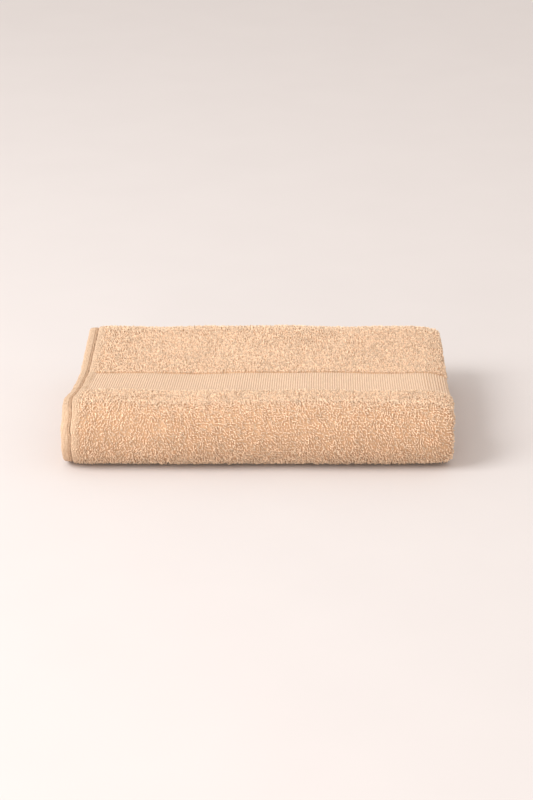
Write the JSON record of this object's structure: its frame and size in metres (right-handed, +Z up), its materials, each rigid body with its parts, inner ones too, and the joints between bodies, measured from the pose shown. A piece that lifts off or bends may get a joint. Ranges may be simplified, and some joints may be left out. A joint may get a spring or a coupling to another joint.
{
  "type": "folded bath towel",
  "caption": "Folded terry bath towel: a doubled cloth turned in three and bent in half round a soft front roll, with a flat woven border; the upper half opens about the roll.",
  "frame": {"origin": "below the middle of the folded stack, on the surface that it rests on", "axes": "+X along the stack's width, from the loose selvedges to the doubled edge; -Y to the rolled front; +Z up"},
  "size_m": [0.3675, 0.2428, 0.0603],
  "materials": {
    "terry": "cotton loop pile, warm peach, matt and soft",
    "dobby_border": "flat woven band of fine ribs, no pile, the same dyed cotton",
    "hem": "flat woven edge, turned and sewn down",
    "sewing_thread": "twisted thread in lockstitch, dyed to match"
  },
  "bodies": {
    "bottom_half": {"bend_selvedge_threads": "sewing_thread", "cover_bend_selvedges": "hem", "cover_bend_terry": "terry", "cover_lower_selvedges": "hem", "cover_lower_terry": "terry", "lower_rear_fold_selvedges": "hem", "lower_rear_fold_terry": "terry", "lower_selvedge_threads": "sewing_thread", "middle_bend_selvedges": "hem", "middle_bend_terry": "terry", "middle_lower_selvedges": "hem", "middle_lower_terry": "terry", "tail_bend_selvedges": "hem", "tail_bend_terry": "terry", "tail_border": "dobby_border", "tail_end_hem": "hem", "tail_end_hem_threads": "sewing_thread", "tail_lower_front_terry": "terry", "tail_lower_rear_terry": "terry", "tail_lower_selvedges": "hem"},
    "top_half": {"cover_border": "dobby_border", "cover_end_hem": "hem", "cover_end_hem_threads": "sewing_thread", "cover_upper_front_terry": "terry", "cover_upper_rear_terry": "terry", "cover_upper_selvedges": "hem", "middle_upper_selvedges": "hem", "middle_upper_terry": "terry", "tail_upper_selvedges": "hem", "tail_upper_terry": "terry", "upper_rear_fold_selvedges": "hem", "upper_rear_fold_terry": "terry", "upper_selvedge_threads": "sewing_thread"}
  },
  "joints": [
    {"name": "last_fold", "type": "hinge", "parent": "bottom_half", "child": "top_half", "pos_m": [0, -0.09127, 0.03015], "axis": [1, 0, 0], "range_deg": [0, 180], "deforming": ["bend_selvedge_threads", "cover_bend_selvedges", "cover_bend_terry", "middle_bend_selvedges", "middle_bend_terry", "tail_bend_selvedges", "tail_bend_terry"]}
  ]
}
